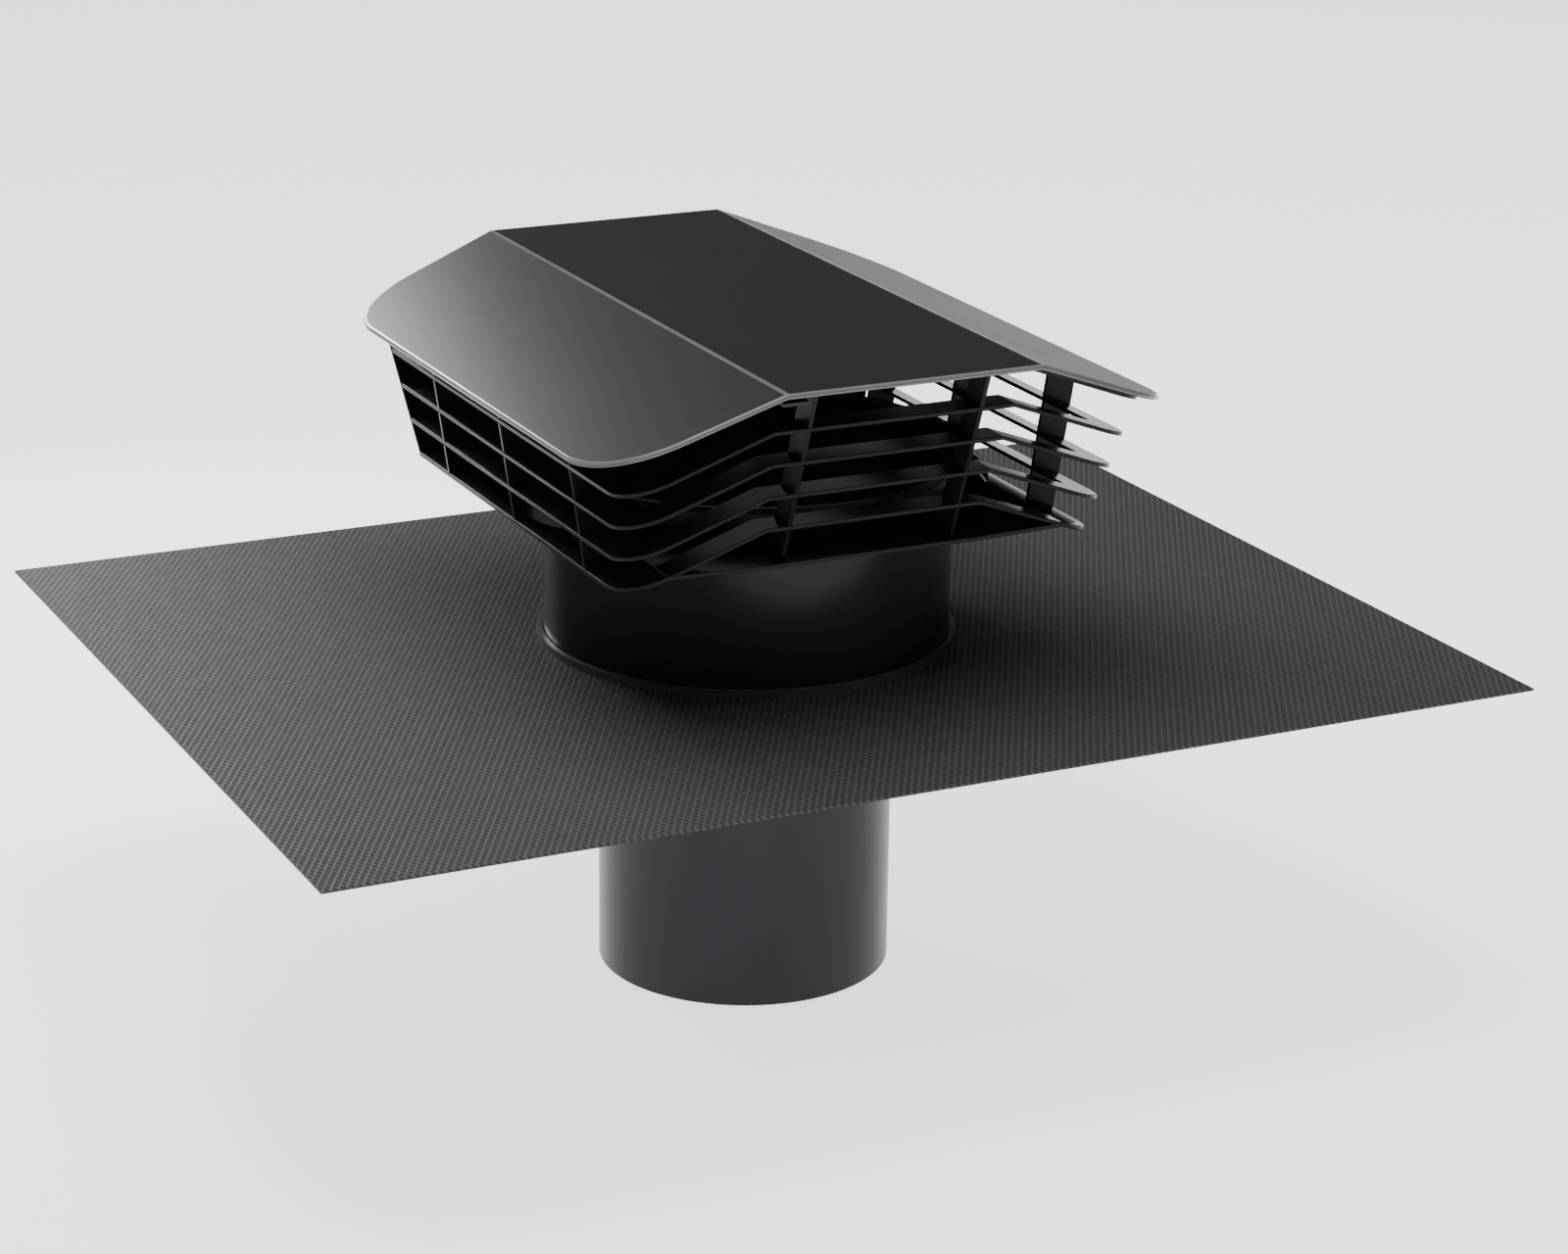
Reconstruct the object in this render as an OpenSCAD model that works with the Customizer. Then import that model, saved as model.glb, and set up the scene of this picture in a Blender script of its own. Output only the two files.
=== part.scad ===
// Roof ventilation cowl: a louvred head on a round neck, standing in the collar
// of a flat flashing sheet, with a duct spigot below. Millimetres, +Z up, the
// origin on the duct axis in the underside of the flashing sheet.

/* [Flashing and base] */
// flashing sheet along X
sheet_w = 666; // [400:2:900]
// flashing sheet along Y
sheet_d = 512; // [400:2:900]
// flashing sheet thickness
sheet_t = 1.2; // [0.8:0.1:3]
// outside radius of the duct spigot
duct_r = 80; // [62:0.5:100]
// wall of the duct spigot
duct_wall = 2.6; // [2:0.1:4]
// length of the spigot below the underside of the sheet
duct_len = 186.4; // [100:0.2:300]
// number of screws holding the spigot plate to the collar
flange_screws_n = 8; // [4:1:12]

/* [Neck and tray] */
// outside radius of the neck
neck_r = 109.7; // [95:0.1:130]
// wall of the neck
neck_wall = 2.5; // [2:0.1:4]
// height of the tray floor underside above the sheet underside
floor_z = 85.2; // [60:0.1:120]
// outside radius of the rain ring that stands on the tray
ring_r = 117.5; // [112:0.1:118]
// outside radius of the rain ring's foot
foot_r = 128.5; // [122:0.1:132]
// height of the rain ring's rim
ring_top = 104.5; // [95:0.1:115]

/* [Louvres] */
// vertical pitch of the louvre frames
pitch = 18.6; // [14:0.1:26]
// thickness of a louvre blade
blade_t = 2.2; // [1.6:0.1:4]
// width of a louvre blade, outside edge to inside edge
blade_w = 18; // [10:0.5:24]
// outside corner radius at the front of a louvre frame
corner_r = 25; // [20:0.5:40]
// sweep of the front edges of the wings, in degrees
sweep = 3.8; // [0:0.1:8]
// thickness of the upright ribs
rib_t = 2.4; // [2:0.1:5]
// front ribs, distance from the middle
rib_x = 47.5; // [30:0.5:60]
// outer side ribs, distance from the middle
rib_y = 93; // [60:0.5:110]
// thickness of the rear panel
panel_t = 2.4; // [2:0.1:4]

/* [Cap] */
// half width of the flat top of the cap
cap_flat = 70; // [50:0.5:90]
// half width of the cap over the wings
cap_half_w = 162.4; // [150:0.1:180]
// half length of the cap
cap_half_l = 190; // [180:0.5:210]
// height of the cap top
cap_z = 187; // [180:0.1:200]
// thickness of the cap
cap_t = 3; // [2:0.1:5]
// wing slope in degrees
slope = 20.4; // [15:0.1:25]

/* [Hidden] */

$fn = 96;
tn = tan(slope);
// collar channel in which the neck turns, and what is stacked on the collar floor
base_hole_r = 84;
collar_r = 113.1;
collar_z = sheet_t + 2.3;
collar_top = 5;
lip_r = neck_r + 0.5;
rim_out = neck_r - neck_wall - 0.7;
rim_in = rim_out - 3.8;
rim_top = 20;
seal_z = 12;
plate_r = 100;
gasket_t = 1;
gasket_top = collar_z + gasket_t;
plate_top = gasket_top + 3;
screw_c = 93;
screw_r = 1.75;
head_r = 3.6;
head_h = 2.4;
neck_z = collar_z + 0.4;
// tray: flat floor, side wings in the plane of the lowest blade
tray_t = 2.4;
tray_top = floor_z + tray_t;
skirt_out = neck_r - neck_wall - 0.05;
skirt_in = skirt_out - 2.7;
ring_t = 2.6;
ring_foot = tray_top + 1.4;

// height of the middle of blade k: 0 is the top frame, 4 the lowest blade
lz = [cap_z - cap_t - 0.4 - blade_t / 2, 161.4, 161.4 - pitch, 161.4 - 2 * pitch,
      161.4 - 3 * pitch];
// half width, half length and kink of the head outline at height z
function hw(z) = 134.4 + (z - 105.6) * 0.145;
function hl(z) = 148.1 + (z - 105.6) * 0.371;
function hk(z) = 59.9 + (z - 105.6) * 0.118;
// height of the middle of blade k at distance x from the middle
function bz(k, x) = lz[k] - max(0, abs(x) - hk(lz[k])) * tn;
// kink of the tray, where its floor meets the plane of the lowest blade
tray_k = hk(lz[4]) + (lz[4] - (floor_z + tray_t / 2)) / tn;
tray_w = hw(lz[4]);
tray_l = hl(lz[4]) - 0.6;

module fold(zc, k, w, t) {
    // folded plate section, flat in the middle and sloping down both sides
    rotate([90, 0, 0]) linear_extrude(500, center = true)
        polygon([[-w, zc + t / 2 - (w - k) * tn], [-k, zc + t / 2], [k, zc + t / 2],
                 [w, zc + t / 2 - (w - k) * tn], [w, zc - t / 2 - (w - k) * tn],
                 [k, zc - t / 2], [-k, zc - t / 2], [-w, zc - t / 2 - (w - k) * tn]]);
}

module plan(w, l, r, k, back) {
    // plan outline: half width, front half length, front corner radius, kink, rear end;
    // the front edges of the wings are swept back, and the corners are round
    yc = (w - r - k) * tan(sweep) - l + r / cos(sweep);
    arc = [for (i = [0 : 14]) let (a = (sweep - 90) * (14 - i) / 14)
        [w - r + r * cos(a), yc + r * sin(a)]];
    polygon(concat([[-k, -l], [k, -l]], arc, [[w, back], [-w, back]],
                   [for (i = [14 : -1 : 0]) [-arc[i][0], arc[i][1]]]));
}

module tube(ro, ri, z0, z1) {
    difference() {
        translate([0, 0, z0]) cylinder(r = ro, h = z1 - z0);
        translate([0, 0, z0 - 1]) cylinder(r = ri, h = z1 - z0 + 2);
    }
}

module on_screws() {
    for (i = [0 : flange_screws_n - 1])
        rotate([0, 0, (i + 0.5) * 360 / flange_screws_n]) translate([screw_c, 0, 0]) children();
}

module before_panel(gap) {
    // everything in front of the sloping rear panel
    rotate([90, 0, 90]) linear_extrude(400, center = true)
        polygon([[-300, 0], [hl(0) - gap, 0], [hl(300) - gap, 300], [-300, 300]]);
}

// ---- base, which stays with the roof ----
module spigot() color("#45454a") {
    tube(duct_r, duct_r - duct_wall, -duct_len, gasket_top);
    // thinner end, bonded in the hole of the base plate
    tube(duct_r - 1, duct_r - duct_wall, gasket_top, plate_top);
}

module base_plate() color("#1c1c1e") difference() {
    // flat ring round the top of the spigot, screwed down to the collar floor
    tube(plate_r, duct_r - 1, gasket_top, plate_top);
    on_screws() cylinder(r = screw_r + 0.05, h = 20);
}

module flange_gasket() color("#202020") difference() {
    tube(plate_r, base_hole_r, collar_z, gasket_top);
    on_screws() cylinder(r = screw_r + 0.05, h = 20);
}

module flashing() color("#3c3f3d") difference() {
    translate([-sheet_w / 2, -sheet_d / 2, 0]) cube([sheet_w, sheet_d, sheet_t]);
    translate([0, 0, -1]) cylinder(r = base_hole_r, h = sheet_t + 2);
}

module collar() color("#1c1c1e") difference() {
    union() {
        tube(collar_r, base_hole_r, sheet_t, collar_z);
        tube(collar_r, lip_r, sheet_t, collar_top);
        tube(rim_out, rim_in, sheet_t, rim_top);
    }
    // blind holes for the screws
    on_screws() translate([0, 0, sheet_t + 0.7]) cylinder(r = screw_r + 0.05, h = 20);
    // groove for the neck seal
    tube(rim_out + 1, rim_out - 2.5, seal_z - 1.5, seal_z + 1.5);
}

module flange_screws() color("#8a8a8a") on_screws() {
    translate([0, 0, plate_top]) cylinder(r = head_r, h = head_h);
    translate([0, 0, sheet_t + 0.8]) cylinder(r = screw_r, h = plate_top - sheet_t);
}

module neck_seal() color("#141414") rotate_extrude()
    translate([rim_out - 1.05, seal_z]) circle(r = 1.35, $fn = 32);

// ---- head, which turns in the collar ----
module neck() color("#151517") tube(neck_r, neck_r - neck_wall, neck_z, floor_z);

module tray() color("#1a1a1c") difference() {
    intersection() {
        union() {
            fold(floor_z + tray_t / 2, tray_k, 170, tray_t);
            tube(skirt_out, skirt_in, floor_z - 13, tray_top);
        }
        linear_extrude(300) plan(tray_w, tray_l, corner_r, hk(lz[4]), 200);
        before_panel(0);
    }
    translate([0, 0, 50]) cylinder(r = skirt_in, h = 60);
}

module rain_ring() color("#1a1a1c") intersection() {
    union() {
        // wall with a bead round its rim, and a foot that follows floor and wings
        tube(ring_r, ring_r - ring_t, 70, ring_top);
        rotate_extrude() translate([ring_r - ring_t / 2, ring_top - 1.8]) circle(1.9, $fn = 32);
        tube(foot_r, ring_r - ring_t, 70, ring_foot);
        // buttresses outside the wall
        for (a = [34, 146, 214, 326]) rotate([0, 0, a]) rotate([90, 0, 0])
            linear_extrude(5, center = true)
                polygon([[ring_r - 1, 70], [foot_r - 1, 70], [foot_r - 1, ring_foot + 2],
                         [ring_r + 2, ring_top - 4], [ring_r - 1, ring_top - 4]]);
    }
    fold(tray_top + 20, tray_k, 170, 40);
}

module blade(k) {
    // one blade, open at the rear except in the top frame
    z = lz[k];
    intersection() {
        fold(z, hk(z), 170, blade_t);
        difference() {
            linear_extrude(300) plan(hw(z), hl(z), corner_r, hk(z), 220);
            translate([0, 0, -1]) linear_extrude(302)
                plan(hw(z) - blade_w, hl(z) - blade_w, corner_r - blade_w, hk(z),
                     k == 0 ? hl(z) - blade_w : 240);
        }
        before_panel(k == 0 ? 0 : panel_t);
    }
}

module end_ribs(k) {
    // upright ribs in the front opening below blade k
    z0 = k == 4 ? tray_top : lz[k + 1] + blade_t / 2;
    z1 = lz[k];
    i = blade_w - 2;
    for (sx = [-1, 1]) translate([sx * rib_x, 0, 0]) rotate([90, 0, 90])
        linear_extrude(rib_t, center = true)
            polygon([[-hl(z0), z0], [-hl(z1), z1], [i - hl(z1), z1], [i - hl(z0), z0]]);
}

module side_ribs(k) {
    // upright ribs in the two side openings below blade k
    w0 = hw(lz[k + 1]);
    w1 = hw(lz[k]);
    zb = k == 3 ? tray_top - (w0 - tray_k) * tn : bz(k + 1, w0) + blade_t / 2;
    zt = bz(k, w1);
    i = blade_w - 2;
    for (mx = [0, 1], y = [-rib_y, 0, rib_y]) mirror([mx, 0, 0])
        translate([0, y, 0]) rotate([90, 0, 0]) linear_extrude(rib_t, center = true)
            polygon([[w0, zb], [w1, zt], [w1 - i, zt + i * tn], [w0 - i, zb + i * tn]]);
}

module louvre(k) color("#1e1e20") difference() {
    union() {
        blade(k);
        end_ribs(k);
        side_ribs(k);
    }
    // the lowest ribs stand on the foot of the rain ring
    if (k == 3) translate([0, 0, 60]) cylinder(r = foot_r, h = ring_foot - 60);
}

module louvre_1() louvre(1);
module louvre_2() louvre(2);
module louvre_3() louvre(3);

module louvre_4() color("#1e1e20") {
    // lowest front blade, running down into the wings of the tray
    difference() {
        intersection() {
            blade(4);
            translate([-200, -260, 0]) cube([400, 200, 300]);
        }
        fold(tray_top - 40, tray_k, 170, 80);
    }
    end_ribs(4);
}

module top_frame() color("#1e1e20") {
    blade(0);
    end_ribs(0);
    side_ribs(0);
}

module rear_panel() color("#1e1e20") intersection() {
    // closed rear side of the head, between the tray and the top frame, with a
    // cheek each side that runs forward to the outer side ribs
    zt = lz[0] - blade_t / 2;
    w0 = hw(lz[4]);
    w1 = hw(lz[0]);
    a = tray_top - (w0 - tray_k) * tn;
    b = zt - (w1 - hk(lz[0])) * tn;
    c = blade_w + 0.2;
    rotate([90, 0, 0]) linear_extrude(500, center = true)
        polygon([[-w0, a], [-tray_k, tray_top], [tray_k, tray_top], [w0, a],
                 [w1, b], [hk(lz[0]), zt], [-hk(lz[0]), zt], [-w1, b]]);
    union() {
        difference() {
            before_panel(0);
            translate([0, 0, -1]) before_panel(panel_t);
            translate([-200, -300, 0]) cube([400, 400, 300]);
        }
        for (mx = [0, 1]) mirror([mx, 0, 0]) intersection() {
            before_panel(panel_t / 2);
            translate([0, rib_y - 2, 0]) rotate([90, 0, 0]) mirror([0, 0, 1])
                linear_extrude(100)
                    polygon([[w0 - c - panel_t, lz[4] - 20.5], [w0 - c, lz[4] - 20.5],
                             [w1 - c, lz[0] - 20], [w1 - c - panel_t, lz[0] - 20]]);
        }
    }
}

module clip(x, outline) translate([x, 0, 0]) rotate([90, 0, 90])
    linear_extrude(14, center = true) polygon(outline);

module cap_clips() color("#2a2a2c") {
    // a hook under the front edge of the top frame, and one on the back of the panel
    b = lz[0] - blade_t / 2;
    y = hl(lz[0]);
    c = b - 4.4;
    clip(-59, [[5 - y, b], [3.4 - y, b], [3.4 - y, c + 1.7], [-1 - y, c + 1.7], [-1 - y, c],
               [5 - y, c]]);
    clip(59, [[hl(c), c], [hl(c) + 3, c], [hl(c) + 3, c + 1.7], [hl(b) + 0.8, b], [hl(b), b]]);
}

// ---- cap, which lifts off ----
cap_cx = cap_half_w - 48;
cap_cy = cap_half_l - 54.5;
cap_cr = 48;
// corner of the cap outline, from the end edge round to the side edge
cap_arc = [for (i = [0 : 20]) let (a = 7.8 + 82.2 * i / 20)
    [cap_cx + cap_cr * sin(a), cap_cy + cap_cr * cos(a)]];
cap_rev = [for (i = [20 : -1 : 0]) cap_arc[i]];
module cap() color("#383435") intersection() {
    fold(cap_z - cap_t / 2, cap_flat, 200, cap_t);
    linear_extrude(300) polygon(concat(
        [[cap_flat, cap_half_l]], cap_arc,
        [for (p = cap_rev) [p[0], -p[1]]], [[cap_flat, -cap_half_l], [-cap_flat, -cap_half_l]],
        [for (p = cap_arc) [-p[0], -p[1]]],
        [for (p = cap_rev) [-p[0], p[1]]], [[-cap_flat, cap_half_l]]));
}

spigot();
base_plate();
flange_gasket();
flashing();
collar();
flange_screws();
neck_seal();
neck();
tray();
rain_ring();
louvre_4();
louvre_3();
louvre_2();
louvre_1();
top_frame();
rear_panel();
cap_clips();
cap();
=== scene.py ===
import math
import bpy
from mathutils import Matrix, Vector


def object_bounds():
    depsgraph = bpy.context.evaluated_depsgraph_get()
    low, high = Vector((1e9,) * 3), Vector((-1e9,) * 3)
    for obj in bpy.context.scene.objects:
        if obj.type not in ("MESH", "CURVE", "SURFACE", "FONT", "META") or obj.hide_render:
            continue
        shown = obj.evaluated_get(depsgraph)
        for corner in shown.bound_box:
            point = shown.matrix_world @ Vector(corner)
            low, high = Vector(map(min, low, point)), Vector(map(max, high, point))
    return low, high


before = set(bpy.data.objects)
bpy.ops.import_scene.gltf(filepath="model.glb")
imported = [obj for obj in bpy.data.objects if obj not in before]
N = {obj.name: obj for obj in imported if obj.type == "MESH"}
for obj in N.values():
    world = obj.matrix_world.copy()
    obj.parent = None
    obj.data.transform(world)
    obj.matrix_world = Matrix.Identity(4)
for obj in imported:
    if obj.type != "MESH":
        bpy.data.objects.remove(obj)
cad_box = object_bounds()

scene = bpy.context.scene

RAMP_LOW, RAMP_HIGH = 0.3, 0.7      # part of a noise's range that a ramp spreads out
STRAND_PITCH = 0.0034               # m, between two strands of the sheet's mesh
COS_30, SIN_30 = 0.866, 0.5         # direction across a strand that runs 60 degrees from X
WELD_DISTANCE = 0.00002             # m
FLAT_ANGLE = math.radians(0.6)      # faces closer than this in angle become one
FLOOR_SIZE = 24                     # m
FLOOR_GLOW = 1.8                    # emission strength that shows as nearly white


# ---------------------------------------------------------------- node helpers
class Mat:
    """A small builder for procedural materials."""

    def __init__(self, name):
        self.m = bpy.data.materials.new(name)
        self.m.use_nodes = True
        self.t = self.m.node_tree
        self.t.nodes.clear()
        self.out = self.t.nodes.new("ShaderNodeOutputMaterial")
        self.b = self.t.nodes.new("ShaderNodeBsdfPrincipled")
        self.t.links.new(self.b.outputs[0], self.out.inputs[0])
        self.co = self.t.nodes.new("ShaderNodeTexCoord").outputs["Object"]

    def set(self, **kw):
        for k, v in kw.items():
            self.b.inputs[k.replace("_", " ")].default_value = v
        return self

    def link(self, a, b):
        self.t.links.new(a, b)

    def noise(self, scale, detail=4.0, rough=0.6, vec=None):
        n = self.t.nodes.new("ShaderNodeTexNoise")
        n.inputs["Scale"].default_value = scale
        n.inputs["Detail"].default_value = detail
        n.inputs["Roughness"].default_value = rough
        self.link(vec or self.co, n.inputs["Vector"])
        return n.outputs["Fac"]

    def stretch(self, s):
        n = self.t.nodes.new("ShaderNodeMapping")
        n.inputs["Scale"].default_value = s
        self.link(self.co, n.inputs["Vector"])
        return n.outputs["Vector"]

    def ramp(self, fac, lo, hi):
        n = self.t.nodes.new("ShaderNodeValToRGB")
        e = n.color_ramp.elements
        e[0].position, e[1].position = RAMP_LOW, RAMP_HIGH
        e[0].color = lo if isinstance(lo, tuple) else (lo, lo, lo, 1)
        e[1].color = hi if isinstance(hi, tuple) else (hi, hi, hi, 1)
        self.link(fac, n.inputs["Fac"])
        return n.outputs["Color"]

    def math(self, op, *args):
        n = self.t.nodes.new("ShaderNodeMath")
        n.operation = op
        for i, v in enumerate(args):
            if isinstance(v, (int, float)):
                n.inputs[i].default_value = v
            else:
                self.link(v, n.inputs[i])
        return n.outputs[0]

    def dot(self, v):
        n = self.t.nodes.new("ShaderNodeVectorMath")
        n.operation = "DOT_PRODUCT"
        self.link(self.co, n.inputs[0])
        n.inputs[1].default_value = v
        return n.outputs["Value"]

    def mix(self, fac, a, b):
        n = self.t.nodes.new("ShaderNodeMix")
        n.data_type = "RGBA"
        for k, v in (("Factor", fac), ("A", a), ("B", b)):
            s = [i for i in n.inputs if i.name == k and i.enabled][0]
            if isinstance(v, (int, float, tuple)):
                s.default_value = v
            else:
                self.link(v, s)
        return [o for o in n.outputs if o.enabled][0]

    def bump(self, h, dist):
        n = self.t.nodes.new("ShaderNodeBump")
        n.inputs["Distance"].default_value = dist
        n.inputs["Strength"].default_value = 1.0
        self.link(h, n.inputs["Height"])
        self.link(n.outputs["Normal"], self.b.inputs["Normal"])


def plastic(name, lo, hi, r0, r1, grain, depth, ior=1.5, flow=(1, 1, 1)):
    """Moulded plastic: faint flow marks in the colour, uneven gloss, fine spark-eroded grain."""
    m = Mat(name).set(IOR=ior)
    tone = m.noise(9.0, 5.0, vec=m.stretch(flow))
    m.link(m.ramp(tone, lo + (1,), hi + (1,)), m.b.inputs["Base Color"])
    wide = m.noise(26.0, 6.0)
    fine = m.noise(grain * 0.6, 2.0)
    gloss = m.math("ADD", m.math("MULTIPLY", wide, 0.65), m.math("MULTIPLY", fine, 0.35))
    m.link(m.ramp(gloss, r0, r1), m.b.inputs["Roughness"])
    m.bump(m.noise(grain, 3.0, 0.7), depth)
    return m.m


def mesh_sheet(name):
    """Matt coated sheet over a diamond mesh: raised strands 60 degrees either side of X."""
    m = Mat(name).set(IOR=1.17)
    strands = []
    for side in (-1, 1):
        u = m.math("MULTIPLY", m.dot((COS_30, side * SIN_30, 0)), 1 / STRAND_PITCH)
        wave = m.math("PINGPONG", u, 0.5)
        strands.append(m.math("SMOOTH_MIN", m.math("MULTIPLY", wave, 4.0), 1.0, 0.3))
    cell = m.math("MULTIPLY", strands[0], strands[1])
    low = m.mix(m.noise(30.0, 5.0), (0.025, 0.027, 0.026, 1), (0.031, 0.0335, 0.032, 1))
    high = m.mix(m.noise(60.0, 4.0), (0.060, 0.065, 0.062, 1), (0.076, 0.082, 0.079, 1))
    m.link(m.mix(cell, high, low), m.b.inputs["Base Color"])
    m.link(m.mix(cell, (0.46, 0.46, 0.46, 1), (0.66, 0.66, 0.66, 1)), m.b.inputs["Roughness"])
    rough = m.math("MULTIPLY", m.noise(1400, 3.0), 0.15)
    m.bump(m.math("ADD", m.math("MULTIPLY", cell, -1.0), rough), 0.00018)
    return m.m


def rubber(name):
    """Matt black rubber with a fine, dusty grain."""
    m = Mat(name).set(IOR=1.5)
    m.link(m.ramp(m.noise(60.0), 0.010, 0.018), m.b.inputs["Base Color"])
    m.link(m.ramp(m.noise(200.0), 0.62, 0.82), m.b.inputs["Roughness"])
    m.bump(m.noise(1800, 4.0, 0.7), 0.00004)
    return m.m


def steel(name):
    """Brushed steel, streaked along one direction."""
    m = Mat(name).set(Metallic=1.0)
    streak = m.noise(160.0, 5.0, vec=m.stretch((1, 14, 1)))
    m.link(m.ramp(streak, (0.46, 0.46, 0.47, 1), (0.60, 0.60, 0.61, 1)), m.b.inputs["Base Color"])
    m.link(m.ramp(m.noise(240.0), 0.24, 0.42), m.b.inputs["Roughness"])
    m.bump(streak, 0.00002)
    return m.m


# Each plastic: darkest and lightest colour, least and most roughness, scale of the grain, its
# depth in metres. The low refractive indexes bring the reflection of the bright floor down.
MAT = {
    "cap": plastic("cap_plastic", (0.0150, 0.0130, 0.0135), (0.0170, 0.0150, 0.0155),
                   0.35, 0.38, 1500, 0.000002, ior=1.32, flow=(1, 0.35, 1)),
    # the cap's rounded edge strips: a lighter grey that is a painted highlight along the ridges and
    # rims
    "cap_painted_highlight": plastic("cap_painted_highlight_plastic", (0.11, 0.11, 0.114), (0.14, 0.14, 0.145),
                        0.16, 0.22, 1500, 0.000003),
    "louvre": plastic("louvre_plastic", (0.0090, 0.0090, 0.0100), (0.0125, 0.0125, 0.0140),
                      0.22, 0.28, 1100, 0.0000008, ior=1.18, flow=(1, 1, 3)),
    "neck": plastic("neck_plastic", (0.018, 0.018, 0.019), (0.023, 0.023, 0.0245),
                    0.16, 0.21, 900, 0.0000015, ior=1.24, flow=(1, 1, 4)),
    "collar": plastic("collar_plastic", (0.062, 0.062, 0.066), (0.074, 0.074, 0.079),
                      0.36, 0.42, 500, 0.000001, ior=1.4),
    "spigot": plastic("spigot_plastic", (0.024, 0.024, 0.0285), (0.029, 0.029, 0.034),
                      0.28, 0.33, 1100, 0.000003, ior=1.22, flow=(2, 2, 0.3)),
    "sheet": mesh_sheet("flashing_sheet"),
    "rubber": rubber("seal_rubber"),
    "steel": steel("screw_steel"),
}


# ---------------------------------------------------------------- finish on the CAD nodes
def paint(name, mat):
    """One material on the whole node."""
    o = N[name]
    o.data.materials.clear()
    o.data.materials.append(mat)
    for p in o.data.polygons:
        p.material_index = 0


def soften(name, width, segments=2, limit=35, edge=None):
    """Moulded edges: the flat faces are joined up, then edges sharper than limit are rounded.

    With edge, the rounded strips take that material; on the cap it is a lighter grey, a painted
    highlight along the cap's ridges and rims.
    """
    o = N[name]
    if edge:
        o.data.materials.append(edge)
    w = o.modifiers.new("weld", "WELD")
    w.merge_threshold = WELD_DISTANCE
    d = o.modifiers.new("flat", "DECIMATE")
    d.decimate_type = "DISSOLVE"
    d.angle_limit = FLAT_ANGLE
    b = o.modifiers.new("edge", "BEVEL")
    b.width = width
    b.segments = segments
    b.limit_method = "ANGLE"
    b.angle_limit = math.radians(limit)
    b.use_clamp_overlap = False
    b.material = 1 if edge else -1
    b.miter_outer = "MITER_ARC"
    n = o.modifiers.new("shade", "WEIGHTED_NORMAL")
    n.keep_sharp = False
    n.weight = 80


# the material of each node; the louvres, frame, tray, ring and panel take "louvre"
SLOT = {"cap": "cap", "cap_clips": "cap", "spigot": "spigot", "neck": "neck", "collar": "collar",
        "base_plate": "neck", "flashing": "sheet", "flange_gasket": "rubber", "neck_seal": "rubber",
        "flange_screws": "steel"}
for n in N:
    paint(n, MAT[SLOT.get(n, "louvre")])

# the cap's rounded edges take the lighter grey of the painted highlight
soften("cap", 0.0013, segments=3, limit=15, edge=MAT["cap_painted_highlight"])
for n in ("top_frame", "louvre_1", "louvre_2", "louvre_3", "louvre_4"):
    soften(n, 0.00035)
soften("tray", 0.0004)
soften("rear_panel", 0.0005)

# ---------------------------------------------------------------- floor, light, camera
z_floor = cad_box[0][2]
bpy.ops.mesh.primitive_plane_add(size=FLOOR_SIZE, location=(0, 0, z_floor))
floor = bpy.context.object
floor.name = "floor"
fm = Mat("floor_paper").set(Roughness=0.95)
fm.link(fm.ramp(fm.noise(3.0), 0.62, 0.64), fm.b.inputs["Base Color"])
fm.b.inputs["Emission Color"].default_value = (1, 1, 1, 1)
fm.b.inputs["Emission Strength"].default_value = FLOOR_GLOW
floor.data.materials.append(fm.m)

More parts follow.
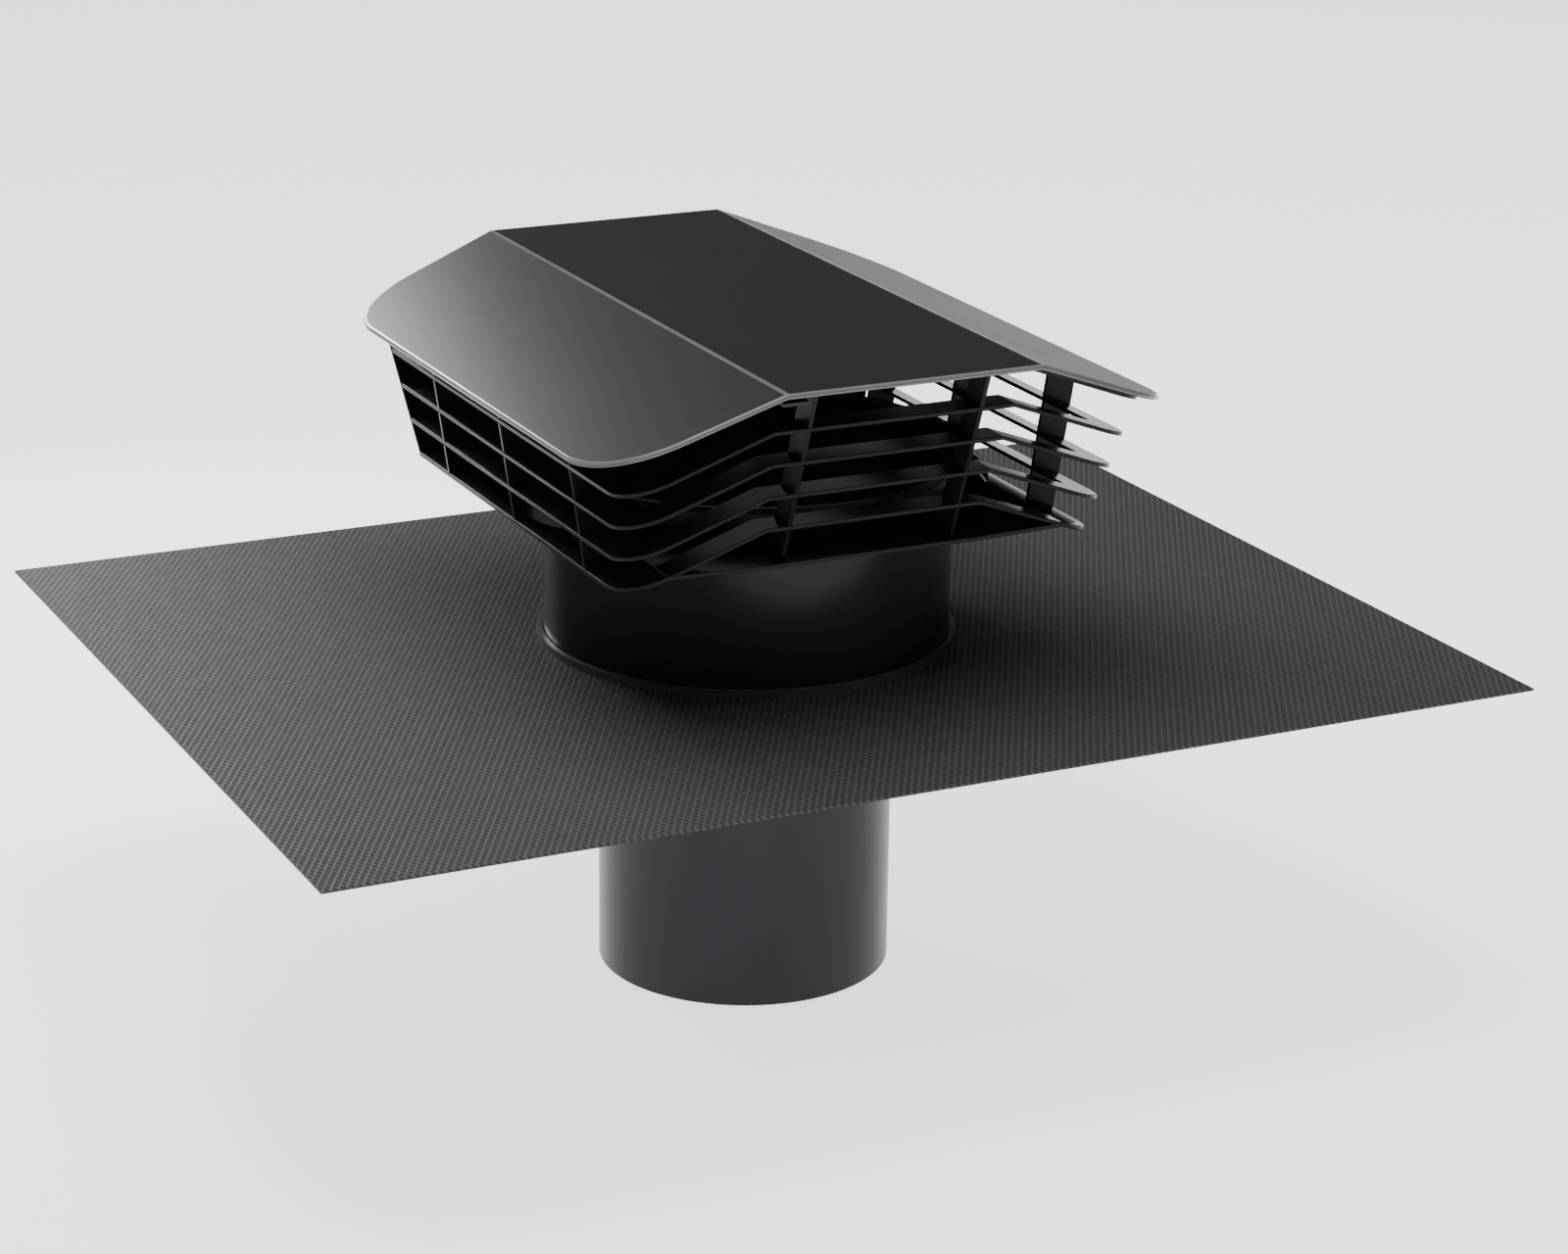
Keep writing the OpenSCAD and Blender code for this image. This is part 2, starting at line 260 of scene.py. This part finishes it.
# sky: a grey gradient over the height of the view direction, dark just above the horizon
world = bpy.data.worlds.new("studio")
scene.world = world
world.use_nodes = True
sky = world.node_tree
background = sky.nodes["Background"]
background.inputs["Strength"].default_value = 1.0
direction = sky.nodes.new("ShaderNodeTexCoord")
height = sky.nodes.new("ShaderNodeSeparateXYZ")
shade = sky.nodes.new("ShaderNodeValToRGB")
sky.links.new(direction.outputs["Generated"], height.inputs[0])
sky.links.new(height.outputs["Z"], shade.inputs["Fac"])
sky.links.new(shade.outputs["Color"], background.inputs["Color"])
stops = shade.color_ramp.elements
stops[0].position, stops[0].color = 0.0, (0.15, 0.154, 0.165, 1)
stops[1].position, stops[1].color = 1.0, (0.75, 0.75, 0.75, 1)
for position, grey in ((0.04, 0.14), (0.12, 0.04), (0.42, 0.05), (0.70, 0.50)):
    stops.new(position).color = (grey, grey, grey * 1.03, 1)


def area(name, loc, to, size, power):
    """A rectangular soft light at loc, aimed at to, that the camera doesn't see."""
    d = bpy.data.lights.new(name, "AREA")
    d.shape = "RECTANGLE"
    d.size, d.size_y = size
    d.energy = power
    o = bpy.data.objects.new(name, d)
    scene.collection.objects.link(o)
    o.location = loc
    o.rotation_euler = (Vector(to) - Vector(loc)).to_track_quat("-Z", "Y").to_euler()
    o.visible_camera = False


area("top_box", (-0.3, -0.3, 3.0), (0, 0, 0), (3.0, 2.4), 100)
area("back_left", (-0.27, 1.0, 0.48), (-0.15, 0.1, 0.17), (0.34, 0.34), 10.5)
area("horizon", (1.9, 2.6, 0.10), (0, 0, 0.12), (1.8, 0.09), 0.6)
area("key_left", (-2.6, 0.4, 0.9), (0, 0, 0.0), (1.4, 1.2), 1.5)
area("inside", (0, 0.02, 0.174), (0, 0.02, 0), (0.12, 0.20), 0.035)

cam_d = bpy.data.cameras.new("camera")
cam = bpy.data.objects.new("camera", cam_d)
scene.collection.objects.link(cam)
scene.camera = cam
cam_d.sensor_width = 36
cam_d.sensor_fit = "HORIZONTAL"
cam_d.lens = 88.49
cam_d.clip_end = 100


def place_camera(az, el, roll, dist, ox, oy):
    """Look along az, el (degrees) from dist metres, moved by ox, oy across the view."""
    az, el, roll = (math.radians(v) for v in (az, el, roll))
    back = Vector((math.sin(az) * math.cos(el), -math.cos(az) * math.cos(el), math.sin(el)))
    right = (-back).cross(Vector((0, 0, 1))).normalized()
    up = right.cross(-back)
    r2 = right * math.cos(roll) + up * math.sin(roll)
    u2 = -right * math.sin(roll) + up * math.cos(roll)
    rot = Matrix((r2, u2, back)).transposed().to_4x4()
    cam.matrix_world = Matrix.Translation(back * dist + r2 * ox + u2 * oy) @ rot


place_camera(-26.22, 18.77, 0.75, 2.08667, 0.02062, 0.00131)
